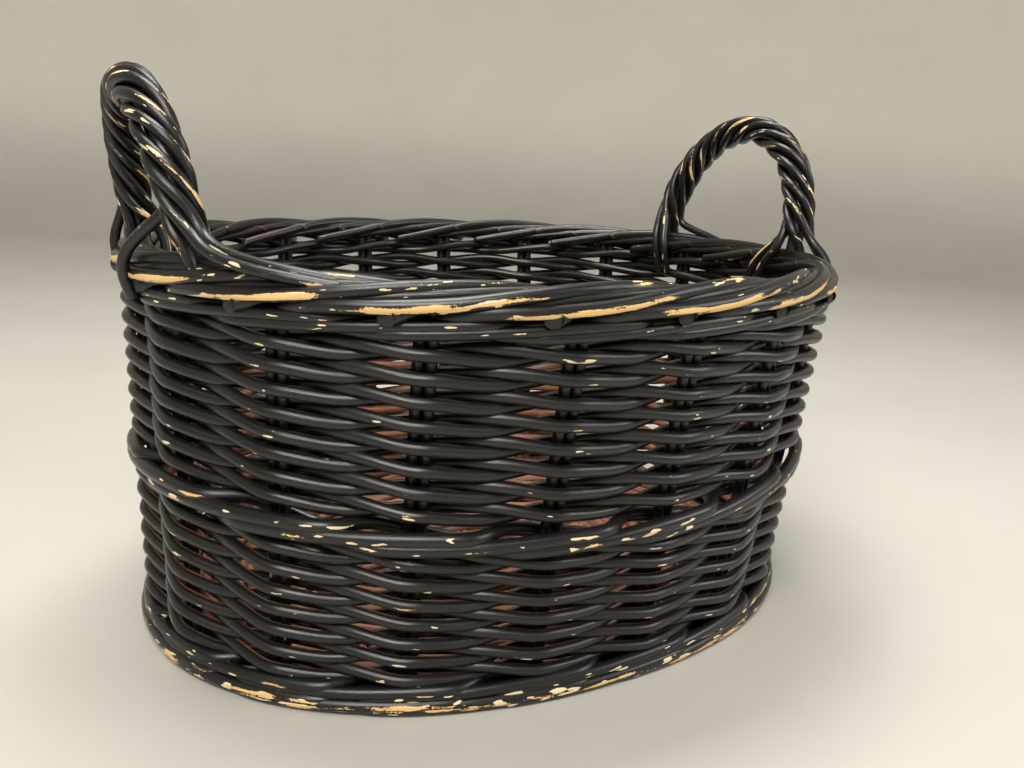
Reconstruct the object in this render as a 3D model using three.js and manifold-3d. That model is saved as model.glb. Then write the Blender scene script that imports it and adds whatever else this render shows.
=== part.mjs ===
// Oval cane basket with an open top and two upright rope-wrapped handles.
// Millimetres, +Z up, X along the basket's length, origin at the middle of its footprint on the floor.
import * as THREE from "three";
import { mergeVertices } from "three/addons/utils/BufferGeometryUtils.js";
import Module from "manifold-3d";

// Plan of the wall's centre line, as an oval slightly squarer than an ellipse.
const BASE_LENGTH = 426;
const BASE_WIDTH = 320;
const RIM_LENGTH = 440;
const RIM_WIDTH = 376;
const SQUARENESS = 2.15;
const RIM_LEVEL = 223;

// Levels of the bands at the two ends of the basket.
const FOOT_HEIGHT = 15;
const MID_WALE_LOW = 102;
const MID_WALE_HIGH = 118;
const BORDER_LOW = 214;
const BORDER_HIGH = 232;
const LONG_SIDE_DIP = 13; // how much lower the middle band runs along the two long sides
const LOWER_ROWS = 7;
const UPPER_ROWS = 8;
const ROW_GAP = 1.2; // between one course of weaving and the next
const GAP = 0.3;

// Stakes: pairs of canes side by side.
const STAKES = 18;
const FIRST_STAKE = 0.718 / STAKES; // share of the way round from the -X end
const STAKE_WIDTH = 12.4;
const STAKE_DEPTH = 6;
const STAKE_CORNER = 1.6;
const STAKE_LOW = 2;
const STAKE_INTO_BORDER = 8;
const STAKE_SLACK = 0.6;

// How far each band stands out from the centre line over a stake and between two stakes.
const ROW_SWELL = [10.6, 8.6];
const MID_WALE_SWELL = [13.6, 12.4];
const TOP_WALE_SWELL = [11.6, 11];
const FOOT_SWELL = [13.6, 12.4];
const BORDER_HALF_WIDTH = 11;
const BORDER_SWELL = 0.08;

// Base: an oval woven plate with canes let into it.
const BASE_LOW = 6;
const BASE_HIGH = 16;
const BASE_INSET = 14;
const CROSS_STICKS = 5;
const CROSS_PITCH = 62;
const RUNNERS = 2;
const RUNNER_PITCH = 70;
const STICK = 4;

// Handles: a bow core pushed down into the border, with strands twisted round it.
const LEG_SPREAD = 140;
const LEFT_BOW = { rise: 81, lean: 15 };
const RIGHT_BOW = { rise: 84, lean: 15 };
const LEG_LOW = 205;
const CORE_RADIUS = 5.4;
const LEG_HOLE_RADIUS = 6.6;
const STRANDS = 6;
const STRAND_RADIUS = 3;
const STRAND_TURNS = 1.5;
const STRAND_STEPS = 18;

const CORNER_STEPS = 720;
const TAU = 2 * Math.PI;

const wasm = await Module();
wasm.setup();

const paintedCane = { color: 0x17130f, roughness: 0.35 };
const stakeCane = { color: 0x241a12, roughness: 0.45 };
const bareCane = { color: 0x9a6b45, roughness: 0.7 };

const basket = new THREE.Group();
basket.name = "basket";

function add(name, geometry, look) {
  const mesh = new THREE.Mesh(geometry, new THREE.MeshStandardMaterial(look));
  mesh.name = name;
  basket.add(mesh);
}

// Half length and half width of the centre line at a level.
function halfLength(z) {
  return (BASE_LENGTH + ((RIM_LENGTH - BASE_LENGTH) * z) / RIM_LEVEL) / 2;
}

function halfWidth(z) {
  return (BASE_WIDTH + ((RIM_WIDTH - BASE_WIDTH) * z) / RIM_LEVEL) / 2;
}

function ovalPoint(angle, a, b) {
  const bulge = (value) => Math.sign(value) * Math.abs(value) ** (2 / SQUARENESS);
  return new THREE.Vector2(a * bulge(Math.cos(angle)), b * bulge(Math.sin(angle)));
}

// Angle of the point a given share of the way round, measured along the rim from the -X end.
const alongRim = [0];
for (let i = 1; i <= CORNER_STEPS; i++) {
  const from = ovalPoint(-Math.PI + ((i - 1) / CORNER_STEPS) * TAU, RIM_LENGTH, RIM_WIDTH);
  const to = ovalPoint(-Math.PI + (i / CORNER_STEPS) * TAU, RIM_LENGTH, RIM_WIDTH);
  alongRim.push(alongRim[i - 1] + from.distanceTo(to));
}

function angleAt(share) {
  const goal = (share - Math.floor(share)) * alongRim[CORNER_STEPS];
  let i = 1;
  while (alongRim[i] < goal) i++;
  const part = (goal - alongRim[i - 1]) / (alongRim[i] - alongRim[i - 1]);
  return -Math.PI + ((i - 1 + part) / CORNER_STEPS) * TAU;
}

// Unit vector along the wall at a share of the way round.
function wallTangent(share, z) {
  const ahead = ovalPoint(angleAt(share + 0.002), halfLength(z), halfWidth(z));
  const behind = ovalPoint(angleAt(share - 0.002), halfLength(z), halfWidth(z));
  return ahead.sub(behind).normalize();
}

// Point a distance out from the wall's centre line and a distance along it.
function wallPoint(share, z, out = 0, along = 0) {
  const tangent = wallTangent(share, z);
  const outward = new THREE.Vector2(tangent.y, -tangent.x);
  const point = ovalPoint(angleAt(share), halfLength(z), halfWidth(z));
  return point.addScaledVector(outward, out).addScaledVector(tangent, along);
}

function stakeShare(index) {
  return FIRST_STAKE + index / STAKES;
}

// Lowers a level on the long sides, most at the middle band and not at all at floor and border.
function dippedLevel(z, x, y) {
  const u = x / halfLength(z);
  const v = y / halfWidth(z);
  const side = (v * v) / (u * u + v * v);
  const middle = (MID_WALE_LOW + MID_WALE_HIGH) / 2;
  const share = z < middle ? z / middle : Math.max(0, (BORDER_LOW - z) / (BORDER_LOW - middle));
  return z - LONG_SIDE_DIP * side * share;
}

// Outline over and between the stakes, one point at each.
function wavyOutline(z, swell, side) {
  const points = [];
  for (let i = 0; i < 2 * STAKES; i++) {
    points.push(wallPoint(FIRST_STAKE + i / (2 * STAKES), z, side * swell[i % 2]));
  }
  return points;
}

function stakeSlot(index, z) {
  const w = STAKE_WIDTH / 2 + STAKE_SLACK;
  const d = STAKE_DEPTH / 2 + STAKE_SLACK;
  const corners = [[-d, -w], [d, -w], [d, w], [-d, w]];
  return new THREE.Path(corners.map(([out, along]) => wallPoint(stakeShare(index), z, out, along)));
}

// One band of weaving: a wavy ring with a slot for every stake pair, following the wall's flare.
function band(low, high, swell, extraHoles = []) {
  const z = (low + high) / 2;
  const shape = new THREE.Shape(wavyOutline(z, swell, 1));
  shape.holes.push(new THREE.Path(wavyOutline(z, swell, -1)));
  for (let i = 0; i < STAKES; i++) shape.holes.push(stakeSlot(i, z));
  shape.holes.push(...extraHoles);
  const height = high - low - ROW_GAP;
  const geometry = new THREE.ExtrudeGeometry(shape, { depth: height, bevelEnabled: false });
  const spot = geometry.getAttribute("position");
  for (let i = 0; i < spot.count; i++) {
    const level = dippedLevel(low + ROW_GAP / 2 + spot.getZ(i), spot.getX(i), spot.getY(i));
    const x = (spot.getX(i) * halfLength(level)) / halfLength(z);
    const y = (spot.getY(i) * halfWidth(level)) / halfWidth(z);
    spot.setXYZ(i, x, y, level);
  }
  return geometry;
}

// A pair of canes as one flat bar with eased corners, leaning out with the wall.
function stake(index) {
  const share = stakeShare(index);
  const w = STAKE_WIDTH / 2;
  const d = STAKE_DEPTH / 2;
  const c = STAKE_CORNER;
  const section = new THREE.Shape(
    [
      [-w + c, -d], [w - c, -d], [w, -d + c], [w, d - c],
      [w - c, d], [-w + c, d], [-w, d - c], [-w, -d + c],
    ].map(([along, out]) => new THREE.Vector2(along, out)),
  );
  const top = BORDER_LOW + STAKE_INTO_BORDER;
  const middle = (STAKE_LOW + top) / 2;
  const tangent = wallTangent(share, middle);
  const depth = top - STAKE_LOW;
  const geometry = new THREE.ExtrudeGeometry(section, { depth, bevelEnabled: false });
  const spot = geometry.getAttribute("position");
  for (let i = 0; i < spot.count; i++) {
    const level = STAKE_LOW + spot.getZ(i);
    const centre = wallPoint(share, level);
    const x = centre.x + tangent.x * spot.getX(i) - tangent.y * spot.getY(i);
    const y = centre.y + tangent.y * spot.getX(i) + tangent.x * spot.getY(i);
    spot.setXYZ(i, x, y, level);
  }
  return geometry;
}

function toSolid(geometry) {
  const bare = new THREE.BufferGeometry();
  bare.setAttribute("position", geometry.getAttribute("position"));
  bare.setIndex(geometry.index);
  const merged = mergeVertices(bare, 1e-4);
  return new wasm.Manifold(
    new wasm.Mesh({
      numProp: 3,
      vertProperties: new Float32Array(merged.getAttribute("position").array),
      triVerts: new Uint32Array(merged.index.array),
    }),
  );
}

function toGeometry(solid) {
  const mesh = solid.getMesh();
  const geometry = new THREE.BufferGeometry();
  geometry.setAttribute("position", new THREE.BufferAttribute(mesh.vertProperties, 3));
  geometry.setIndex(new THREE.BufferAttribute(mesh.triVerts, 1));
  const flat = geometry.toNonIndexed();
  flat.computeVertexNormals();
  return flat;
}

// Where a handle leg goes down into the wall: end is -1 or 1 along X, side is -1 or 1 along Y.
function legSpot(end, side, z = RIM_LEVEL) {
  const y = (side * LEG_SPREAD) / 2;
  const x = halfLength(z) * (1 - Math.abs(y / halfWidth(z)) ** SQUARENESS) ** (1 / SQUARENESS);
  return new THREE.Vector2(end * x, y);
}

const LEG_SPOTS = [-1, 1].flatMap((end) => [-1, 1].map((side) => legSpot(end, side)));

// Plaited border: an eight-sided ring that swells over every stake.
function border() {
  const w = BORDER_HALF_WIDTH;
  const low = BORDER_LOW + GAP;
  const ease = 4.5;
  const section = [
    [-w + ease, low], [w - ease, low], [w, low + ease], [w, BORDER_HIGH - ease],
    [w - ease, BORDER_HIGH], [-w + ease, BORDER_HIGH], [-w, BORDER_HIGH - ease], [-w, low + ease],
  ];
  const rounds = 3 * STAKES;
  const positions = [];
  const index = [];
  for (let i = 0; i < rounds; i++) {
    const swell = 1 + BORDER_SWELL * Math.cos((TAU * i) / 3);
    for (const [out, z] of section) {
      const point = wallPoint(FIRST_STAKE + i / rounds, RIM_LEVEL, out * swell);
      positions.push(point.x, point.y, z);
    }
  }
  const n = section.length;
  for (let i = 0; i < rounds; i++) {
    for (let j = 0; j < n; j++) {
      const a = i * n + j;
      const b = i * n + ((j + 1) % n);
      const c = ((i + 1) % rounds) * n + j;
      const d = ((i + 1) % rounds) * n + ((j + 1) % n);
      index.push(a, c, b, b, c, d);
    }
  }
  const ring = new THREE.BufferGeometry();
  ring.setAttribute("position", new THREE.Float32BufferAttribute(positions, 3));
  ring.setIndex(index);
  let solid = toSolid(ring);
  for (let i = 0; i < STAKES; i++) {
    const share = stakeShare(i);
    const top = BORDER_LOW + STAKE_INTO_BORDER + GAP;
    const width = STAKE_WIDTH + 2 * STAKE_SLACK;
    const depth = STAKE_DEPTH + 2 * STAKE_SLACK + 2;
    const tangent = wallTangent(share, BORDER_LOW);
    const turn = THREE.MathUtils.radToDeg(Math.atan2(tangent.y, tangent.x));
    const centre = wallPoint(share, BORDER_LOW + STAKE_INTO_BORDER / 2);
    const pocket = wasm.Manifold.cube([width, depth, 2 * (top - BORDER_LOW)], true).rotate([0, 0, turn]);
    solid = solid.subtract(pocket.translate([centre.x, centre.y, BORDER_LOW]));
  }
  for (const spot of LEG_SPOTS) {
    const bore = wasm.Manifold.cylinder(60, LEG_HOLE_RADIUS, LEG_HOLE_RADIUS, 12, true);
    solid = solid.subtract(bore.translate([spot.x, spot.y, RIM_LEVEL]));
  }
  return toGeometry(solid);
}

function legHole(spot) {
  const hole = new THREE.Path();
  for (let i = 0; i < 12; i++) {
    const angle = (i / 12) * TAU;
    const x = spot.x + LEG_HOLE_RADIUS * Math.cos(angle);
    const y = spot.y + LEG_HOLE_RADIUS * Math.sin(angle);
    if (i === 0) hole.moveTo(x, y);
    else hole.lineTo(x, y);
  }
  return hole;
}

// Oval plate of the base, with channels for the cross sticks above and the runners below.
function baseWeave() {
  const outline = [];
  for (let i = 0; i < 2 * STAKES; i++) {
    outline.push(wallPoint(i / (2 * STAKES), BASE_LOW, -BASE_INSET));
  }
  const plate = new THREE.ExtrudeGeometry(new THREE.Shape(outline), {
    depth: BASE_HIGH - BASE_LOW,
    bevelEnabled: false,
  });
  plate.translate(0, 0, BASE_LOW);
  let solid = toSolid(plate);
  const cut = STICK + 2 * GAP;
  for (const x of spread(CROSS_STICKS, CROSS_PITCH)) {
    const channel = wasm.Manifold.cube([cut, BASE_WIDTH, cut], true).translate([x, 0, BASE_HIGH]);
    solid = solid.subtract(channel);
  }
  for (const y of spread(RUNNERS, RUNNER_PITCH)) {
    const channel = wasm.Manifold.cube([BASE_LENGTH, cut, cut], true).translate([0, y, BASE_LOW]);
    solid = solid.subtract(channel);
  }
  return toGeometry(solid);
}

function spread(count, pitch) {
  return Array.from({ length: count }, (_, i) => (i - (count - 1) / 2) * pitch);
}

// Length of the base plate across a line parallel to one axis.
function plateReach(at, across, along) {
  return 2 * along * (1 - Math.abs(at / across) ** SQUARENESS) ** (1 / SQUARENESS);
}

const bowOf = (end) => (end < 0 ? LEFT_BOW : RIGHT_BOW);

// Arch of a handle: straight up out of the border, over and down, leaning outward with height.
function bowPoint(end, share) {
  const foot = legSpot(end, -1);
  const angle = share * Math.PI;
  const bow = bowOf(end);
  const rise = bow.rise * Math.sin(angle);
  const lean = (bow.lean * rise) / bow.rise;
  return new THREE.Vector3(foot.x + end * lean, (-LEG_SPREAD / 2) * Math.cos(angle), BORDER_HIGH + rise);
}

function bowPath(end) {
  const points = [];
  for (let i = 0; i <= 16; i++) points.push(bowPoint(end, i / 16));
  const foot = legSpot(end, -1);
  points.unshift(new THREE.Vector3(foot.x, -LEG_SPREAD / 2, LEG_LOW));
  points.push(new THREE.Vector3(foot.x, LEG_SPREAD / 2, LEG_LOW));
  return new THREE.CatmullRomCurve3(points, false, "centripetal");
}

function roundSection(radius, sides) {
  const points = [];
  for (let i = 0; i < sides; i++) {
    const angle = (i / sides) * TAU;
    points.push(new THREE.Vector2(radius * Math.cos(angle), radius * Math.sin(angle)));
  }
  return new THREE.Shape(points);
}

function sweep(path, radius, sides, steps) {
  const options = { extrudePath: path, steps, bevelEnabled: false };
  return new THREE.ExtrudeGeometry(roundSection(radius, sides), options);
}

// One strand of the wrap: a helix round the bow that starts and ends just above the border.
function strandPath(end, index) {
  const reach = CORE_RADIUS + GAP + STRAND_RADIUS + 0.2;
  const bow = bowOf(end);
  const outward = new THREE.Vector3(-end * bow.rise, 0, bow.lean).normalize();
  const points = [];
  for (let i = 0; i <= 4 * STRAND_STEPS; i++) {
    const share = 0.035 + (0.93 * i) / (4 * STRAND_STEPS);
    const along = bowPoint(end, share + 0.001).sub(bowPoint(end, share - 0.001)).normalize();
    const across = new THREE.Vector3().crossVectors(outward, along).normalize();
    const upright = new THREE.Vector3().crossVectors(along, across);
    const angle = TAU * (index / STRANDS + (STRAND_TURNS * i) / (4 * STRAND_STEPS));
    const at = bowPoint(end, share);
    at.addScaledVector(across, reach * Math.cos(angle));
    at.addScaledVector(upright, reach * Math.sin(angle));
    points.push(at);
  }
  return new THREE.CatmullRomCurve3(points, false, "centripetal");
}

// Base
add("base_weave", baseWeave(), bareCane);
const plateHalfLength = halfLength(BASE_LOW) - BASE_INSET - 4;
const plateHalfWidth = halfWidth(BASE_LOW) - BASE_INSET - 4;
spread(CROSS_STICKS, CROSS_PITCH).forEach((x, i) => {
  const reach = plateReach(x, plateHalfLength, plateHalfWidth);
  const stick = new THREE.BoxGeometry(STICK, reach, STICK);
  stick.translate(x, 0, BASE_HIGH);
  add(`base_cross_stick_${i + 1}`, stick, bareCane);
});
spread(RUNNERS, RUNNER_PITCH).forEach((y, i) => {
  const reach = plateReach(y, plateHalfWidth, plateHalfLength);
  const runner = new THREE.BoxGeometry(reach, STICK, STICK);
  runner.translate(0, y, BASE_LOW);
  add(`base_runner_${i + 1}`, runner, bareCane);
});

// Wall, from the floor up
for (let i = 0; i < STAKES; i++) {
  add(`stake_${String(i + 1).padStart(2, "0")}`, stake(i), stakeCane);
}
add("foot_border", band(-ROW_GAP / 2, FOOT_HEIGHT, FOOT_SWELL), paintedCane);
const lowerPitch = (MID_WALE_LOW - FOOT_HEIGHT) / LOWER_ROWS;
for (let i = 0; i < LOWER_ROWS; i++) {
  const low = FOOT_HEIGHT + i * lowerPitch;
  add(`lower_row_${i + 1}`, band(low, low + lowerPitch, ROW_SWELL), paintedCane);
}
add("mid_wale", band(MID_WALE_LOW + GAP, MID_WALE_HIGH - GAP, MID_WALE_SWELL), paintedCane);
const upperPitch = (BORDER_LOW - MID_WALE_HIGH) / (UPPER_ROWS + 1);
for (let i = 0; i < UPPER_ROWS; i++) {
  const low = MID_WALE_HIGH + i * upperPitch;
  add(`upper_row_${i + 1}`, band(low, low + upperPitch, ROW_SWELL), paintedCane);
}
const topWale = band(BORDER_LOW - upperPitch, BORDER_LOW, TOP_WALE_SWELL, LEG_SPOTS.map(legHole));
add("top_wale", topWale, paintedCane);
add("rim_border", border(), paintedCane);

// Handles
for (const [end, side] of [[-1, "left"], [1, "right"]]) {
  add(`${side}_handle_core`, sweep(bowPath(end), CORE_RADIUS, 8, 30), stakeCane);
  for (let i = 0; i < STRANDS; i++) {
    const strand = sweep(strandPath(end, i), STRAND_RADIUS, 5, STRAND_STEPS);
    add(`${side}_handle_strand_${i + 1}`, strand, paintedCane);
  }
}

export default basket;
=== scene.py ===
# Painted cane basket with rope handles, on a pale table.
import math
from itertools import permutations

import bpy
import numpy as np
from mathutils import Matrix, Vector


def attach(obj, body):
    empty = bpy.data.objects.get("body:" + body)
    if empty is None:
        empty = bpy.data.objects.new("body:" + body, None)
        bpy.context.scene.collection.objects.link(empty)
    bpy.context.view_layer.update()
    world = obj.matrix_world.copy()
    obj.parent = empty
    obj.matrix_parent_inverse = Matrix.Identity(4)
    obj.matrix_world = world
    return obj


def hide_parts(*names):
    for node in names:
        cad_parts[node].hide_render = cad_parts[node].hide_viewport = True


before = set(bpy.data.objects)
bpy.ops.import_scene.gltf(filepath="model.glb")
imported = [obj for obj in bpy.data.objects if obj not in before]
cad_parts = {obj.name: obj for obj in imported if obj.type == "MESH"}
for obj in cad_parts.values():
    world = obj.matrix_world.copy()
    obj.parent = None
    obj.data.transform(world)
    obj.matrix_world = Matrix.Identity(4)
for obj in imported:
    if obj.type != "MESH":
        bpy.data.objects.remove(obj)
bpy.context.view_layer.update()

MM = 0.001
TAU = 2 * math.pi
UP = np.array([0, 0, 1.0])
SLIGHTLY_DOWN = np.array([0, 0, -0.2])
rng = np.random.default_rng(41)
scene = bpy.context.scene

# ---------------------------------------------------------------- camera
camera_data = bpy.data.cameras.new("camera")
camera_data.sensor_width = 36.0
camera_data.lens = 32.0
camera = bpy.data.objects.new("camera", camera_data)
scene.collection.objects.link(camera)
scene.camera = camera
YAW, PITCH, ROLL = 0.552, 0.244, 0.052
forward = Vector((math.sin(YAW) * math.cos(PITCH), math.cos(YAW) * math.cos(PITCH), -math.sin(PITCH)))
right = Vector((math.cos(YAW), -math.sin(YAW), 0.0))
up = right.cross(forward)
tilted_right = right * math.cos(ROLL) + up * math.sin(ROLL)
tilted_up = up * math.cos(ROLL) - right * math.sin(ROLL)
pose = Matrix((tilted_right, tilted_up, -forward)).transposed().to_4x4()
pose.translation = Vector((-0.3042, -0.5272, 0.2856))
camera.matrix_world = pose

# ---------------------------------------------------------------- the wall's shape, in millimetres
BASE_HALF = (213.0, 160.0)
RIM_HALF = (220.0, 188.0)
RIM_LEVEL = 223.0
SQUARENESS = 2.15
STAKES = 18
FIRST_STAKE = 0.718 / STAKES
FOOT_TOP, WALE_LOW, WALE_HIGH, BORDER_LOW, BORDER_HIGH = 15.0, 102.0, 118.0, 214.0, 232.0
LOWER_ROWS, UPPER_ROWS = 7, 8
DIP = 14.0  # how much lower the middle band runs along the two long sides
ROD = 3.3
STAKE_ROD = 3.1
STAKE_LOW, STAKE_HIGH = 2.0, 221.0
STAKE_APART = 3.05  # half the distance between the two canes of a stake pair
LAP = 6.7  # how far a weaver's middle stands out from the stakes' middle
STEPS_PER_STAKE = 20


def bulge(value):
    """A cosine or sine reshaped so that it draws an oval squarer than an ellipse."""
    return np.sign(value) * np.abs(value) ** (2 / SQUARENESS)


def oval(angle, a, b):
    return np.stack([a * bulge(np.cos(angle)), b * bulge(np.sin(angle))], -1)


_angles = np.linspace(-math.pi, math.pi, 2881)
_rim = oval(_angles, *RIM_HALF)
_lengths = np.concatenate([[0], np.cumsum(np.linalg.norm(np.diff(_rim, axis=0), axis=1))])
RIM_ROUND = _lengths[-1]
_shares = _lengths / RIM_ROUND


def angle_at(share):
    """The oval's angle at a share of the way round."""
    share = np.asarray(share, float)
    return np.interp(share - np.floor(share), _shares, _angles)


def half_at(z):
    """The wall's half length and half width at a level."""
    k = np.asarray(z, float) / RIM_LEVEL
    return tuple(low + (high - low) * k for low, high in zip(BASE_HALF, RIM_HALF))


def dipped(z, angle):
    """The level of a course where it sinks along the long sides, most at the middle band."""
    u, v = np.abs(bulge(np.cos(angle))), np.abs(bulge(np.sin(angle)))
    side = v * v / (u * u + v * v)
    middle = (WALE_LOW + WALE_HIGH) / 2
    share = np.where(z < middle, z / middle, np.maximum(0, (BORDER_LOW - z) / (BORDER_LOW - middle)))
    return z - DIP * side * np.clip(share, 0, 1)


def outward_at(share, z):
    """Level direction straight out of the wall."""
    a, b = half_at(z)
    d = oval(angle_at(share + 0.002), a, b) - oval(angle_at(share - 0.002), a, b)
    d /= np.linalg.norm(d, axis=-1, keepdims=True)
    return np.stack([d[..., 1], -d[..., 0], np.zeros(d.shape[:-1])], -1)


def wall(share, out=0.0, z=0.0, dip=True):
    """Points on the wall, out from its middle surface, with the outward direction at each."""
    share, out, z = np.broadcast_arrays(*(np.asarray(value, float) for value in (share, out, z)))
    angle = angle_at(share)
    level = dipped(z, angle) if dip else z
    a, b = half_at(level)
    outward = outward_at(share, level)
    plan = oval(angle, a, b)
    points = np.concatenate([plan, level[..., None]], -1) + outward * out[..., None]
    return points, outward


def wander(share, size, waves=5):
    """A small smooth closed irregularity along a rod."""
    total = np.zeros_like(share)
    for k in range(1, waves + 1):
        total += rng.normal(0, 1) / k ** 0.5 * np.sin(TAU * (k * 2 * share + rng.random()))
    return total * size * 0.6


# ---------------------------------------------------------------- rods into meshes
class Bundle:
    """Gathers rods into one mesh with the attributes its material reads: grain runs along and
    round each rod, wear and bare say where its paint is thin, and ends marks its cut faces."""

    def __init__(self):
        self.points, self.faces, self.count = [], [], 0
        self.grain, self.wear, self.bare, self.ends = [], [], [], []

    def _store(self, points, faces, grain, wear, bare, ends):
        self.points.append(points)
        self.faces.extend((f + self.count).tolist() for f in faces)
        self.grain.append(grain)
        self.wear.append(wear)
        self.bare.append(bare)
        self.ends.append(ends)
        self.count += len(points)

    def rod(self, path, toward, radius, sides=12, closed=False, wear=0.0, bare=0.0, slant=(0, 0)):
        """Sweeps a round cane along path. toward gives the side that wear falls on, and bare cane
        shows on the other side. slant cuts the two ends at an angle."""
        n = len(path)
        if closed:
            along = np.roll(path, -1, 0) - np.roll(path, 1, 0)
        else:
            along = np.gradient(path, axis=0)
        along /= np.linalg.norm(along, axis=1, keepdims=True)
        toward = np.broadcast_to(toward, path.shape)
        side = toward - along * np.sum(toward * along, 1, keepdims=True)
        side /= np.linalg.norm(side, axis=1, keepdims=True)
        other = np.cross(along, side)
        radius = np.broadcast_to(radius, (n,))
        turn = math.pi + TAU * np.arange(sides) / sides
        c, s = np.cos(turn), np.sin(turn)
        ring = side[:, None] * c[None, :, None] + other[:, None] * s[None, :, None]
        points = path[:, None] + ring * radius[:, None, None]
        for end in (0, -1):
            points[end] += along[end] * (slant[end] * radius[end] * c)[:, None]
        steps = np.linalg.norm(np.diff(path, axis=0), axis=1) * MM
        run = np.concatenate([[0], np.cumsum(steps)]) + rng.random() * 50
        grain = np.stack(np.broadcast_arrays(run[:, None], c[None], s[None]), -1).reshape(-1, 3)
        wear = np.broadcast_to(wear, (n,))[:, None] * np.clip(c, 0, 1)[None] ** 3
        bare = np.clip(np.broadcast_to(bare, (n,))[:, None] * (0.1 - 1.4 * c[None]), 0, 1)
        rounds = n if closed else n - 1
        i = np.arange(rounds)[:, None] * sides
        k = ((np.arange(rounds) + 1) % n)[:, None] * sides
        j = np.arange(sides)[None]
        jn = (j + 1) % sides
        quads = np.stack(np.broadcast_arrays(i + j, i + jn, k + jn, k + j), -1).reshape(-1, 4)
        self._store(points.reshape(-1, 3), quads, grain, wear.ravel(), bare.ravel(), np.zeros(n * sides))
        if not closed:
            self._cap(points[0], -along[0], grain[0, 0], True)
            self._cap(points[-1], along[-1], grain[-1, 0], False)

    def _cap(self, loop, direction, run, first):
        """A cut end: a slightly rounded edge and a flat face."""
        middle = loop.mean(0)
        sides = len(loop)
        radius = np.linalg.norm(loop - middle, axis=1).mean()
        inner = middle + (loop - middle) * 0.86 + direction * radius * 0.1
        centre = middle + direction * radius * 0.12
        points = np.concatenate([loop, inner, centre[None]])
        a, b = np.arange(sides), (np.arange(sides) + 1) % sides
        if first:
            a, b = b, a
        rim = np.stack([a, b, sides + b, sides + a], -1)
        fan = np.stack([sides + a, sides + b, np.full(sides, 2 * sides)], -1)
        grain = np.column_stack([np.full(2 * sides + 1, run), (points - middle)[:, :2] / radius])
        zero = np.zeros(2 * sides + 1)
        ends = np.concatenate([np.zeros(sides), np.ones(sides + 1)])
        self._store(points, list(rim) + list(fan), grain, zero, zero, ends)

    def make(self, node, material):
        """Turns the gathered rods into the piece that stands in for one CAD node."""
        name = node + "_canes"
        mesh = bpy.data.meshes.new(name)
        points = np.concatenate(self.points) * MM
        mesh.from_pydata(points.tolist(), [], self.faces)
        for key, kind, data in (
            ("grain", "FLOAT_VECTOR", np.concatenate(self.grain)),
            ("wear", "FLOAT", np.concatenate(self.wear)),
            ("bare", "FLOAT", np.concatenate(self.bare)),
            ("ends", "FLOAT", np.concatenate(self.ends)),
        ):
            attribute = mesh.attributes.new(key, kind, "POINT")
            field = "vector" if kind == "FLOAT_VECTOR" else "value"
            attribute.data.foreach_set(field, data.ravel().astype(np.float32))
        mesh.polygons.foreach_set("use_smooth", np.ones(len(mesh.polygons), bool))
        mesh.update()
        piece = bpy.data.objects.new(name, mesh)
        scene.collection.objects.link(piece)
        piece.data.materials.append(material)
        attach(piece, "root")
        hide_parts(node)


# ---------------------------------------------------------------- materials
class Graph:
    """Short names for the few nodes the materials use."""

    def __init__(self, name):
        self.material = bpy.data.materials.new(name)
        self.material.use_nodes = True
        self.nodes = self.material.node_tree.nodes
        self.links = self.material.node_tree.links
        self.shader = self.nodes["Principled BSDF"]

    def put(self, socket, value):
        if isinstance(value, bpy.types.NodeSocket):
            self.links.new(value, socket)
        else:
            socket.default_value = value

    def attribute(self, name, output="Fac"):
        node = self.nodes.new("ShaderNodeAttribute")
        node.attribute_name = name
        return node.outputs[output]

    def scaled(self, vector, scale):
        node = self.nodes.new("ShaderNodeVectorMath")
        node.operation = "MULTIPLY"
        self.put(node.inputs[0], vector)
        node.inputs[1].default_value = scale
        return node.outputs[0]

    def noise(self, vector, detail, roughness=0.55):
        node = self.nodes.new("ShaderNodeTexNoise")
        self.put(node.inputs["Vector"], vector)
        node.inputs["Scale"].default_value = 1.0
        node.inputs["Detail"].default_value = detail
        node.inputs["Roughness"].default_value = roughness
        return node.outputs["Fac"]

    def math(self, operation, a, b):
        node = self.nodes.new("ShaderNodeMath")
        node.operation = operation
        self.put(node.inputs[0], a)
        self.put(node.inputs[1], b)
        return node.outputs[0]

    def varied(self, value, noise, amount):
        """A value moved up and down by a noise centred on a half."""
        return self.math("ADD", value, self.math("MULTIPLY", self.math("SUBTRACT", noise, 0.5), amount))

    def step(self, value, low, high, to_low=0.0, to_high=1.0):
        node = self.nodes.new("ShaderNodeMapRange")
        node.interpolation_type = "SMOOTHSTEP"
        self.put(node.inputs["Value"], value)
        for key, number in (("From Min", low), ("From Max", high), ("To Min", to_low), ("To Max", to_high)):
            node.inputs[key].default_value = number
        return node.outputs["Result"]

    def ramp(self, value, stops):
        node = self.nodes.new("ShaderNodeValToRGB")
        self.put(node.inputs["Fac"], value)
        elements = node.color_ramp.elements
        while len(elements) < len(stops):
            elements.new(0.5)
        for element, (place, color) in zip(elements, stops):
            element.position = place
            element.color = (*color, 1)
        return node.outputs["Color"]

    def mix(self, share, a, b):
        node = self.nodes.new("ShaderNodeMix")
        node.data_type = "RGBA"
        self.put(node.inputs["Factor"], share)
        for socket, value in ((node.inputs[6], a), (node.inputs[7], b)):
            self.put(socket, value if isinstance(value, bpy.types.NodeSocket) else (*value, 1))
        return node.outputs[2]

    def bump(self, height, distance, strength=1.0):
        node = self.nodes.new("ShaderNodeBump")
        node.inputs["Distance"].default_value = distance
        node.inputs["Strength"].default_value = strength
        self.put(node.inputs["Height"], height)
        return node.outputs["Normal"]


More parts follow.
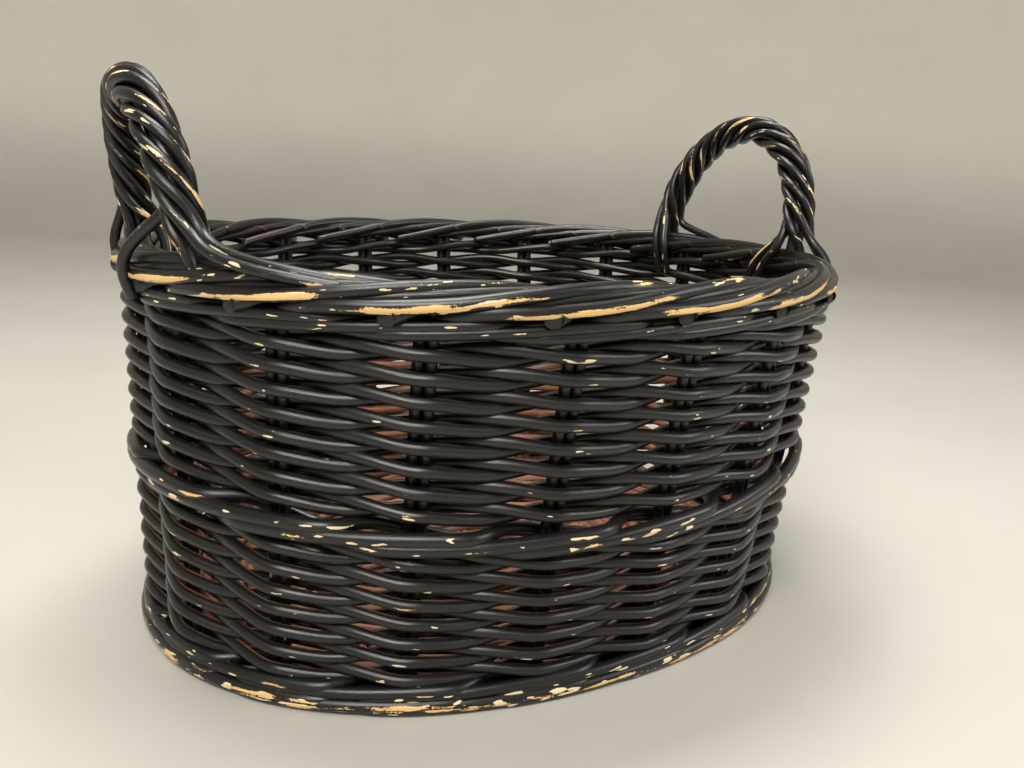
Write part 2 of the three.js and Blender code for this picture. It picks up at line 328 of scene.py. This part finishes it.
def cane_material(name, painted):
    """Cane with grain along its length; painted cane has black paint that is rubbed and chipped off."""
    g = Graph(name)
    grain = g.attribute("grain", "Vector")
    fibre = g.noise(g.scaled(grain, (14, 7, 7)), 4.0, 0.65)
    streak = g.noise(g.scaled(grain, (45, 26, 26)), 2.0, 0.5)
    brown = g.ramp(fibre, [(0.3, (0.05, 0.017, 0.009)), (0.47, (0.20, 0.075, 0.036)),
                           (0.58, (0.34, 0.155, 0.08)), (0.74, (0.55, 0.33, 0.19))])
    tint = g.noise(g.scaled(grain, (2.5, 0.3, 0.3)), 1.0, 0.5)
    brown = g.mix(g.step(tint, 0.42, 0.72, 0, 0.75), brown, (0.055, 0.021, 0.013))
    ends = g.attribute("ends")
    if not painted:
        color = g.mix(g.step(streak, 0.5, 0.8, 0, 0.5), brown, (0.08, 0.03, 0.018))
        color = g.mix(ends, color, (0.42, 0.27, 0.16))
        g.put(g.shader.inputs["Base Color"], color)
        g.put(g.shader.inputs["Roughness"], g.step(streak, 0.2, 0.8, 0.5, 0.72))
        g.put(g.shader.inputs["Normal"], g.bump(streak, 0.0005, 0.6))
        return g.material
    wear = g.attribute("wear")
    # where the paint is gone: long patches, broken up, with ragged and nibbled edges
    patch = g.noise(g.scaled(grain, (30, 1.1, 1.1)), 1.0, 0.5)
    broken = g.noise(g.scaled(grain, (82, 1.35, 1.35)), 1.0, 0.5)
    ragged = g.noise(g.scaled(grain, (520, 2.2, 2.2)), 3.0, 0.6)
    nibbled = g.noise(g.scaled(grain, (900, 9, 9)), 2.0, 0.6)
    worn = g.varied(g.varied(patch, ragged, 0.22), broken, 0.3)
    worn = g.varied(g.math("ADD", worn, wear), nibbled, 0.26)
    chip = g.step(worn, 1.0, 1.012)
    spots = g.varied(broken, ragged, 0.12)
    fleck = g.step(g.math("ADD", spots, g.math("MULTIPLY", wear, 0.5)), 0.815, 0.823)
    bare = g.step(g.varied(g.attribute("bare"), fibre, 1.3), 0.42, 0.62)
    paint = g.ramp(fibre, [(0.3, (0.0045, 0.0045, 0.0046)), (0.7, (0.0115, 0.011, 0.0108))])
    tan = g.ramp(streak, [(0.25, (0.52, 0.24, 0.07)), (0.42, (0.76, 0.46, 0.16)), (0.6, (0.83, 0.57, 0.25)),
                          (0.8, (0.90, 0.74, 0.43))])
    color = g.mix(bare, paint, g.mix(g.step(streak, 0.45, 0.8, 0, 0.7), brown, (0.02, 0.009, 0.006)))
    color = g.mix(ends, color, (0.007, 0.006, 0.005))
    color = g.mix(fleck, color, (0.80, 0.64, 0.40))
    color = g.mix(chip, color, tan)
    gone = g.math("MAXIMUM", chip, fleck)
    rough = g.step(fibre, 0.3, 0.7, 0.24, 0.38)
    rough = g.math("ADD", rough, g.math("MULTIPLY", g.math("MAXIMUM", bare, ends), 0.22))
    rough = g.math("ADD", rough, g.math("MULTIPLY", gone, 0.3))
    height = g.math("ADD", g.math("MULTIPLY", streak, 0.12), g.math("MULTIPLY", fibre, 0.1))
    height = g.math("SUBTRACT", height, g.math("MULTIPLY", gone, 0.4))
    g.put(g.shader.inputs["Base Color"], color)
    g.put(g.shader.inputs["Roughness"], rough)
    g.put(g.shader.inputs["Normal"], g.bump(height, 0.0006, 0.7))
    return g.material


painted_cane = cane_material("painted_cane", True)
bare_cane = cane_material("bare_cane", False)

# ---------------------------------------------------------------- stakes
def stake_share(index):
    """Where round the wall a stake pair stands."""
    return FIRST_STAKE + index / STAKES


stake_lean = rng.normal(0, 0.0012, STAKES)


def bareness(z):
    """How much bare cane shows on the inside at a level: paint only reached the upper part."""
    return 0.12 + 0.82 * np.clip((140 - z) / 60, 0, 1)


for i in range(STAKES):
    bundle = Bundle()
    z = np.linspace(STAKE_LOW, STAKE_HIGH, 40)
    for side in (-1, 1):
        share = stake_share(i) + side * STAKE_APART / RIM_ROUND + stake_lean[i] * (z / 220 - 0.5)
        path, out = wall(share, rng.normal(0, 0.15), z, dip=False)
        size = STAKE_ROD * (1 + 0.03 * np.sin(z / 17 + side))
        bundle.rod(path, out, size, wear=0.12, bare=bareness(z))
    bundle.make(f"stake_{i + 1:02d}", painted_cane)


# ---------------------------------------------------------------- rows of twining
def stake_phase(share):
    """Distance round the wall in stakes, a whole number at each stake."""
    return (np.asarray(share) - FIRST_STAKE) * STAKES


def twined_row(name, level, spread, order):
    """Two rods that swap sides between every two stakes, one over the other."""
    bundle = Bundle()
    share = np.linspace(0, 1, STAKES * STEPS_PER_STAKE, endpoint=False)
    slip = wander(share, 0.05, 4)
    shift = wander(share, 0.5, 5)
    rod = ROD * (1 + rng.normal(0, 0.02))
    for half in (0, 1):
        phase = math.pi * (stake_phase(share) + half + order) + slip
        c, s = np.cos(phase), np.sin(phase)
        lap = np.arcsin(0.95 * c) / math.asin(0.95)
        reach = LAP + 0.2 + wander(share, 0.12, 4)
        z = level + shift + wander(share, 0.22, 7) - spread * s * np.abs(s) ** 0.7
        path, out = wall(share, lap * reach, z)
        size = rod * (1 + wander(share, 0.015, 7) + rng.normal(0, 0.025))
        over = np.clip(c, 0, 1) ** 2
        bundle.rod(path, out + SLIGHTLY_DOWN, size, closed=True, wear=0.3 * over, bare=bareness(path[:, 2]))
    bundle.make(name, painted_cane)


lower_pitch = (WALE_LOW - FOOT_TOP) / LOWER_ROWS
for i in range(LOWER_ROWS):
    twined_row(f"lower_row_{i + 1}", FOOT_TOP + (i + 0.5) * lower_pitch, 3.2, i % 2)
upper_pitch = (BORDER_LOW - WALE_HIGH) / (UPPER_ROWS + 1)
for i in range(UPPER_ROWS):
    twined_row(f"upper_row_{i + 1}", WALE_HIGH + (i + 0.5) * upper_pitch, 2.9, (i + 1) % 2)


# ---------------------------------------------------------------- wales
def smooth_step(t):
    return t * t * (3 - 2 * t)


def add_wale(bundle, level, rod, rise, reach, wear, start=0):
    """Three rods, each outside two stakes and inside the third, each stroke rising to the next."""
    share = np.linspace(0, 1, STAKES * STEPS_PER_STAKE, endpoint=False)
    for k in range(3):
        turn = (stake_phase(share) - k - start + 0.5) / 3  # half a stake on, to swap sides between stakes
        turn = turn - np.floor(turn)
        outside = np.clip((0.72 - turn) / 0.08, 0, 1) * np.clip((turn + 0.02) / 0.08, 0, 1)
        outside = np.where(turn > 0.94, np.clip((turn - 0.94) / 0.08, 0, 1), outside)
        lap = smooth_step(outside)
        out = -LAP + (LAP + reach) * lap
        climb = smooth_step(np.where(turn < 0.7, turn / 0.7, 1 - (turn - 0.7) / 0.3))
        z = level + (climb - 0.5) * 2 * rise + wander(share, 0.2, 5)
        smooth = np.array([0.1, 0.2, 0.4, 0.2, 0.1])
        for _ in range(2):
            z = np.convolve(np.concatenate([z[-2:], z, z[:2]]), smooth, "valid")
            out = np.convolve(np.concatenate([out[-2:], out, out[:2]]), smooth, "valid")
        path, outward = wall(share, out, z)
        path[:, 2] = np.maximum(path[:, 2], rod * 1.06)
        bundle.rod(path, outward, rod * (1 + wander(share, 0.015, 6)), closed=True,
                   wear=wear * lap, bare=bareness(path[:, 2]) * (1 - lap))


# Each layer: level, rod radius, rise of each stroke, reach outward, wear, and the stake it starts at.
for name, layers in (
    ("mid_wale", [((WALE_LOW + WALE_HIGH) / 2, 4.0, 3.9, 9.6, 0.36)]),
    ("top_wale", [(BORDER_LOW - upper_pitch * 0.5, 3.1, 2.9, 6.7, 0.3)]),
    ("foot_border", [(5.4, 3.8, 1.6, 9.8, 0.48), (12.6, 3.4, 2.6, 8.4, 0.34, 1)]),
):
    bundle = Bundle()
    for layer in layers:
        add_wale(bundle, *layer)
    bundle.make(name, painted_cane)


# ---------------------------------------------------------------- border
def spline(keys, count):
    """Smooth path through key points, evenly spaced in their index."""
    keys = np.asarray(keys, float)
    padded = np.concatenate([2 * keys[:1] - keys[1:2], keys, 2 * keys[-1:] - keys[-2:-1]])
    at = np.linspace(0, len(keys) - 1 - 1e-9, count)
    i = at.astype(int)
    t = (at - i)[:, None]
    p0, p1, p2, p3 = padded[i], padded[i + 1], padded[i + 2], padded[i + 3]
    return 0.5 * (2 * p1 + (p2 - p0) * t + (2 * p0 - 5 * p1 + 4 * p2 - p3) * t ** 2
                  + (3 * p1 - p0 - 3 * p2 + p3) * t ** 3)


# One stroke of the border, from its stake: distance in stakes, out, level.
STROKE = [(0.0, 1.0, 210.0), (0.14, 4.4, 214.2), (0.36, 8.4, 217.4), (0.75, 9.6, 218.6),
          (1.15, 9.2, 220.8), (1.55, 7.2, 224.6), (1.95, 3.0, 227.4), (2.35, -1.8, 227.9),
          (2.75, -5.8, 225.6), (3.1, -8.2, 221.4), (3.4, -8.6, 217.6), (3.65, -7.4, 214.4)]
BORDER_MIDDLE = 222.6


def border_cane(bundle, start, reach, radius, worn):
    """One cane of the border following the stroke, nearer the border's middle for a smaller reach."""
    keys = np.array(STROKE)
    keys[2:-2, 1] += rng.normal(0, 0.35)
    keys[2:-2, 2] += rng.normal(0, 0.4)
    route = spline(keys, 120)
    share = start + route[:, 0] / STAKES
    core = wall(share, 0.0, BORDER_MIDDLE, dip=False)[0]
    level = BORDER_MIDDLE + (route[:, 2] - BORDER_MIDDLE) * reach
    path, outward = wall(share, route[:, 1] * reach, level, dip=False)
    away = path - core
    away /= np.linalg.norm(away, axis=1, keepdims=True)
    face = np.clip(np.sum(away * outward, 1) + 0.25, 0, 1)
    edge = np.clip((route[:, 0] - 0.4) / 0.3, 0, 1) * np.clip((1.9 - route[:, 0]) / 0.7, 0, 1)
    size = radius * (1 + rng.normal(0, 0.03)) * (1 - 0.25 * np.clip(route[:, 0] - 2.6, 0, 1))
    worn_at = 0.26 * face + (worn - 0.26) * edge
    worn_at = np.maximum(worn_at, 0.42 * np.clip(away[:, 2], 0, 1))
    bundle.rod(path, away + outward + np.array([0, 0, -0.25]), size, sides=14,
               wear=worn_at, bare=0.3 * (1 - face), slant=(0, 0.6))


bundle = Bundle()
for i in range(STAKES):
    start = stake_share(i) + rng.normal(0, 0.0012)
    # the bold outer cane, then two smaller ones behind it: delay in stakes, reach, radius, wear
    for late, reach, radius, worn in ((0.0, 1.0, 3.7, 0.72), (0.47, 0.64, 3.0, 0.3), (0.1, 0.3, 3.0, 0.2)):
        border_cane(bundle, start + late / STAKES, reach, radius, worn)
    # the trimmed end that shows below the border
    stub = spline([(0.30, -2.0, 217.5), (0.22, 3.5, 216.6), (0.13, 8.5, 215.0), (0.08, 11.6, 213.8)], 14)
    stub_share = stake_share(i) + (stub[:, 0] - 0.32 + rng.normal(0, 0.03)) / STAKES
    out = stub[:, 1] + rng.normal(0, 0.5)
    path, outward = wall(stub_share, out, stub[:, 2] + rng.normal(0, 0.7), dip=False)
    bundle.rod(path, outward, 3.9, sides=14, wear=0.1, slant=(0, -0.9))
bundle.make("rim_border", painted_cane)

# ---------------------------------------------------------------- base
CROSS = [-124.0, -62.0, 0.0, 62.0, 124.0]
RUNNERS = [-35.0, 35.0]
BASE_LEVEL = 11.0
BASE_REACH = (198.0, 145.0)
BASE_WAVE = 3.0  # how far the weaving rises and falls as it crosses the sticks
CORE_LENGTH, CORE_PITCH = 90.0, 6.2
RING_START, RING_PITCH, RING_LONGER = 42.0, 6.62, 53.0


def crossings(a, b):
    """Angles where an oval meets the base's cross sticks and runners."""
    found = []
    for x in CROSS:
        if abs(x) < a - 4:
            t = math.acos(math.copysign(abs(x / a) ** (SQUARENESS / 2), x))
            found += [t, TAU - t]
    for y in RUNNERS:
        if abs(y) < b - 4:
            t = math.asin(math.copysign(abs(y / b) ** (SQUARENESS / 2), y))
            found += [t % TAU, (math.pi - t) % TAU]
    return np.sort(found)


bundle = Bundle()
for k in range(17):
    b = RING_START + RING_PITCH * k
    a = b + RING_LONGER
    met = crossings(a, b)
    angle = np.linspace(0, TAU, 220, endpoint=False)
    met_all_round = np.concatenate([[met[-1] - TAU], met, [met[0] + TAU]])
    turn = np.interp(angle, met_all_round, np.arange(-1, len(met) + 1))
    z = BASE_LEVEL + BASE_WAVE * np.cos(math.pi * (turn + k))
    path = np.concatenate([oval(angle, a, b), z[:, None]], -1)
    bundle.rod(path, UP, 3.05, sides=8, closed=True)
for k in range(11):
    x = np.linspace(-CORE_LENGTH, CORE_LENGTH, 70)
    z = BASE_LEVEL + BASE_WAVE * np.cos(math.pi * (x / 62 + k))
    bundle.rod(np.stack([x, np.full(70, (k - 5) * CORE_PITCH), z], -1), UP, 3.0, sides=8)
bundle.make("base_weave", bare_cane)


def base_stick(node, place, across, steps):
    """A pair of straight canes side by side, lying along the base or across it."""
    along = 1 - across
    bundle = Bundle()
    reach = BASE_REACH[along] * (1 - abs(place / BASE_REACH[across]) ** SQUARENESS) ** (1 / SQUARENESS)
    for side in (-1, 1):
        run = np.linspace(-reach, reach, steps)
        path = np.zeros((steps, 3))
        path[:, along] = run
        path[:, across] = place + side * 2.7
        path[:, 2] = BASE_LEVEL + 0.3 * np.sin(run / 20)
        bundle.rod(path, UP, 2.6, sides=8)
    bundle.make(node, bare_cane)


for i, x in enumerate(CROSS):
    base_stick(f"base_cross_stick_{i + 1}", x, 0, 40)
for i, y in enumerate(RUNNERS):
    base_stick(f"base_runner_{i + 1}", y, 1, 50)

# ---------------------------------------------------------------- handles
LEG_Y = 70.0
LEG_LOW, LEG_HIGH = 206.0, 229.0
BOWS = {-1: (81.0, 15.0), 1: (84.0, 15.0)}  # rise and outward lean of the left and right handle
CORE, STRAND, TURNS = 5.2, 3.0, 2.35
STRANDS = 6
BLEND = 14  # steps of the rope that bend gradually into a tail


def leg_x(end):
    """How far along the basket a handle's legs stand."""
    return end * RIM_HALF[0] * (1 - (LEG_Y / RIM_HALF[1]) ** SQUARENESS) ** (1 / SQUARENESS)


def bow(end, share):
    """Middle of the handle: straight out of the border, over and down, leaning outward."""
    angle = np.asarray(share) * math.pi
    lift = np.abs(np.sin(angle)) ** 0.96
    rise, lean = BOWS[end]
    x = leg_x(end) + end * lean * lift
    return np.stack([x, -LEG_Y * np.cos(angle), BORDER_HIGH - 1 + rise * lift], -1)


def share_at(end, side):
    """Where round the wall a handle leg stands."""
    tries = np.linspace(0, 1, 3601)
    points = oval(angle_at(tries), *RIM_HALF)
    return tries[np.argmin(np.linalg.norm(points - [leg_x(end), side * LEG_Y], axis=1))]


# Ways a strand ends at a leg: how early it leaves the rope, then millimetres along the wall
# towards the handle's middle, out, and level. A name ending in _2 is for a second strand beside it.
INSIDE = 5, [(10, -9.5, 236), (20, -14.0, 227), (29, -14.8, 217), (35, -12.6, 208), (39, -10.4, 200)]
INSIDE_2 = 2, [(3, -11.5, 232), (12, -15.2, 222), (19, -14.8, 212), (24, -12.2, 204), (27, -10.2, 197)]
INSIDE_DOWN = 6, [(-2, -12.0, 236), (-1, -15.0, 225), (1, -14.6, 214), (2, -12.2, 205), (3, -10.2, 198)]
INSIDE_DOWN_2 = 3, [(5, -11.5, 234), (7, -15.0, 225), (9, -14.6, 215), (10, -12.4, 207), (10, -10.2, 201)]
STRAIGHT = 0, [(-6, 4.0, 229), (-6.6, 4.4, 222), (-6.6, 4.4, 215), (-6.6, 4.4, 209)]
STRAIGHT_2 = 0, [(6, 4.0, 229), (6.6, 4.4, 222), (6.6, 4.4, 215), (6.6, 4.4, 209)]
OVER_AWAY = 5, [(-10, 8.0, 237), (-19, 13.8, 230), (-25, 16.0, 222), (-29, 14.8, 213), (-31, 11.0, 206)]
OVER_AWAY_2 = 2, [(-3, 11.5, 235), (-12, 15.4, 228), (-18, 16.2, 219), (-22, 14.4, 210), (-24, 10.6, 203)]
OVER_MIDDLE = 13, [(18, 6.5, 248), (30, 11.0, 239), (39, 14.8, 230), (44, 15.6, 221),
                   (45, 13.8, 212), (45, 10.6, 205)]
OVER_DOWN = 4, [(1, 11.0, 238), (2, 14.4, 231), (3, 15.6, 222), (3, 13.8, 213), (2, 10.6, 206)]
TOP_AWAY = 7, [(-9, 6.5, 243), (-18, 8.4, 237.4), (-31, 9.4, 233.4), (-48, 9.6, 230.4),
               (-66, 8.0, 228), (-86, 4.0, 225)]
TOP_AWAY_2 = 7, [(-8, 1.5, 245), (-16, 2.6, 239.4), (-29, 3.2, 235.4), (-46, 3.4, 232.4),
                 (-64, 2.6, 230), (-84, -1.0, 227)]
TOP_MIDDLE = 4, [(9, 4.0, 240), (21, 6.0, 235), (36, 6.4, 231), (50, 4.0, 228), (62, 0.0, 225)]
LEGS = {
    (-1, -1): [OVER_MIDDLE, INSIDE, INSIDE_2, STRAIGHT, TOP_AWAY, TOP_AWAY_2],
    (-1, 1): [INSIDE_DOWN, INSIDE_DOWN_2, STRAIGHT, STRAIGHT_2, OVER_DOWN, OVER_AWAY],
    (1, -1): [INSIDE, INSIDE_2, STRAIGHT, STRAIGHT_2, OVER_AWAY, OVER_AWAY_2],
    (1, 1): [INSIDE_DOWN, INSIDE_DOWN_2, STRAIGHT, STRAIGHT_2, TOP_MIDDLE, OVER_DOWN],
}


def relaxed(path, rounds):
    """Evens out the bends of an open path."""
    path = path.copy()
    for _ in range(rounds):
        path[1:-1] = 0.25 * path[:-2] + 0.5 * path[1:-1] + 0.25 * path[2:]
    return path


def even(path, step=1.6):
    """The same path with points at even distances."""
    run = np.concatenate([[0], np.cumsum(np.linalg.norm(np.diff(path, axis=0), axis=1))])
    at = np.linspace(0, run[-1], max(2, int(run[-1] / step)))
    return np.stack([np.interp(at, run, path[:, i]) for i in range(3)], -1)


def tail_paths(end, side, helices):
    """Shares the ways to end among the strands so that they bend least. Gives each strand's path
    down, the side of it that faces out, and where it leaves the rope."""
    root = share_at(end, side)
    toward_middle = 1 if end * side < 0 else -1
    outward = wall(root, 0.0, 223.0, dip=False)[1]
    tails = []
    for leave, tail in LEGS[end, side]:
        d, o, z = np.array(tail, float).T
        down = wall(root + toward_middle * d / RIM_ROUND, o, z, dip=False)[0]
        tails.append((spline(down, 40), outward * math.copysign(1, o[0]), leave))

    def miss(k, tail):
        last, before = (tail[2], tail[2] + 4) if side < 0 else (-1 - tail[2], -5 - tail[2])
        ahead = helices[k][last] + 1.5 * (helices[k][last] - helices[k][before])
        return np.linalg.norm(ahead - tail[0][0])

    best = min(permutations(range(STRANDS)),
               key=lambda order: sum(miss(k, tail) for k, tail in zip(order, tails)))
    return [tails[best.index(k)] for k in range(STRANDS)]


for end, label in ((-1, "left"), (1, "right")):
    bundle = Bundle()
    levels = np.linspace(LEG_LOW, LEG_HIGH, 8)
    legs = [np.array([[leg_x(end), side * LEG_Y, z] for z in levels]) for side in (-1, 1)]
    path = np.concatenate([legs[0], bow(end, np.linspace(0, 1, 70)), legs[1][::-1]])
    bundle.rod(path, np.array([end, 0, 0.3]), CORE, sides=14, wear=0.2)
    bundle.make(f"{label}_handle_core", painted_cane)
    share = np.linspace(0.04, 0.96, 160)
    middle = bow(end, share)
    along = np.gradient(middle, axis=0)
    along /= np.linalg.norm(along, axis=1, keepdims=True)
    rise, lean = BOWS[end]
    plane = np.array([-end * rise, 0, lean]) / math.hypot(rise, lean)
    across = np.cross(plane, along)
    across /= np.linalg.norm(across, axis=1, keepdims=True)
    upright = np.cross(along, across)
    run = np.concatenate([[0], np.cumsum(np.linalg.norm(np.diff(middle, axis=0), axis=1))])
    swirl = TURNS * (run / run[-1] + 0.012 * np.sin(run / 23))
    reach = CORE + STRAND - 0.1 + 0.5 * np.sin(run / 31 + end)
    helices = []
    for k in range(STRANDS):
        turn = TAU * (k / STRANDS - swirl) + 0.1 * np.sin(run / 19 + 2 * k)
        away = across * np.cos(turn)[:, None] + upright * np.sin(turn)[:, None]
        helices.append(middle + away * reach[:, None])
    starts, stops = tail_paths(end, -1, helices), tail_paths(end, 1, helices)
    bow_line = bow(end, np.linspace(0, 1, 200))
    for k in range(STRANDS):
        first, first_facing, skip = starts[k]
        last, last_facing, drop = stops[k]
        helix = helices[k][skip:len(helices[k]) - drop]
        parts = [relaxed(even(np.concatenate([first[::-1], helix[:BLEND]])), 18), helix[BLEND:-BLEND],
                 relaxed(even(np.concatenate([helix[-BLEND:], last])), 18)]
        path = even(np.concatenate(parts), 1.5)
        near = bow_line[np.argmin(np.linalg.norm(path[:, None] - bow_line[None], axis=2), axis=1)]
        facing = path - near
        level = np.clip((path[:, 2] - BORDER_HIGH) / 14, 0, 1)[:, None]
        half = len(path) // 2
        side_facing = np.where(np.arange(len(path))[:, None] < half, first_facing, last_facing)
        facing /= np.linalg.norm(facing, axis=1, keepdims=True)
        facing = facing * level + side_facing * (1 - level)
        bundle = Bundle()
        size = STRAND * (1 + rng.normal(0, 0.03))
        bundle.rod(path, facing + 0.05 * UP, size, wear=0.42, slant=(0.5, 0.5))
        bundle.make(f"{label}_handle_strand_{k + 1}", painted_cane)

# ---------------------------------------------------------------- table, backdrop and light
def round_stage():
    """A pale round table top that curves up into a plain wall on every side."""
    flat, bend, top = 2.4, 0.9, 4.0
    profile = [(0.7, 0.0), (1.5, 0.0), (flat, 0.0)]
    for k in range(1, 13):
        a = k / 12 * math.pi / 2
        profile.append((flat + bend * math.sin(a), bend - bend * math.cos(a)))
    profile.append((flat + bend, top))
    around = 96
    points, faces = [(0.0, 0.0, 0.0)], []
    for r, z in profile:
        for j in range(around):
            points.append((r * math.cos(TAU * j / around), r * math.sin(TAU * j / around), z))
    for j in range(around):
        faces.append((0, 1 + j, 1 + (j + 1) % around))
    for i in range(len(profile) - 1):
        for j in range(around):
            a, b = 1 + i * around + j, 1 + i * around + (j + 1) % around
            faces.append((a, a + around, b + around, b))
    mesh = bpy.data.meshes.new("table_top")
    mesh.from_pydata(points, [], faces)
    mesh.polygons.foreach_set("use_smooth", np.ones(len(mesh.polygons), bool))
    sheet = bpy.data.objects.new("table_top", mesh)
    scene.collection.objects.link(sheet)
    g = Graph("table_top")
    place = g.nodes.new("ShaderNodeTexCoord").outputs["Object"]
    height = g.nodes.new("ShaderNodeSeparateXYZ")
    g.put(height.inputs[0], place)
    cloud = g.noise(g.scaled(place, (3, 3, 3)), 3.0)
    table = g.ramp(cloud, [(0.3, (0.47, 0.455, 0.41)), (0.7, (0.51, 0.495, 0.45))])
    backdrop = g.ramp(cloud, [(0.3, (0.80, 0.775, 0.70)), (0.7, (0.84, 0.815, 0.74))])
    g.put(g.shader.inputs["Base Color"], g.mix(g.step(height.outputs["Z"], 0.02, 0.5), table, backdrop))
    g.shader.inputs["Roughness"].default_value = 0.55
    mesh.materials.append(g.material)


round_stage()


def lamp(name, place, target, size, watts, color):
    """A soft rectangular lamp facing a target."""
    data = bpy.data.lights.new(name, "AREA")
    data.shape = "RECTANGLE"
    data.size, data.size_y = size
    data.energy = watts
    data.color = color
    light = bpy.data.objects.new(name, data)
    light.location = place
    light.rotation_euler = (Vector(target) - Vector(place)).to_track_quat("-Z", "Y").to_euler()
    scene.collection.objects.link(light)


lamp("key", (-0.9, -1.1, 1.6), (0, 0, 0.1), (1.1, 0.8), 42, (1.0, 0.97, 0.92))
lamp("fill", (1.4, -1.2, 1.1), (0, 0, 0.12), (0.7, 0.5), 12, (0.95, 0.97, 1.0))
lamp("top", (0.0, 0.3, 1.8), (0, 0, 0.1), (0.9, 0.6), 30, (1.0, 0.98, 0.95))
world = bpy.data.worlds.new("room")
world.use_nodes = True
background = world.node_tree.nodes["Background"]
background.inputs["Color"].default_value = (0.80, 0.78, 0.74, 1)
background.inputs["Strength"].default_value = 0.38
scene.world = world
scene.view_settings.view_transform = "Standard"
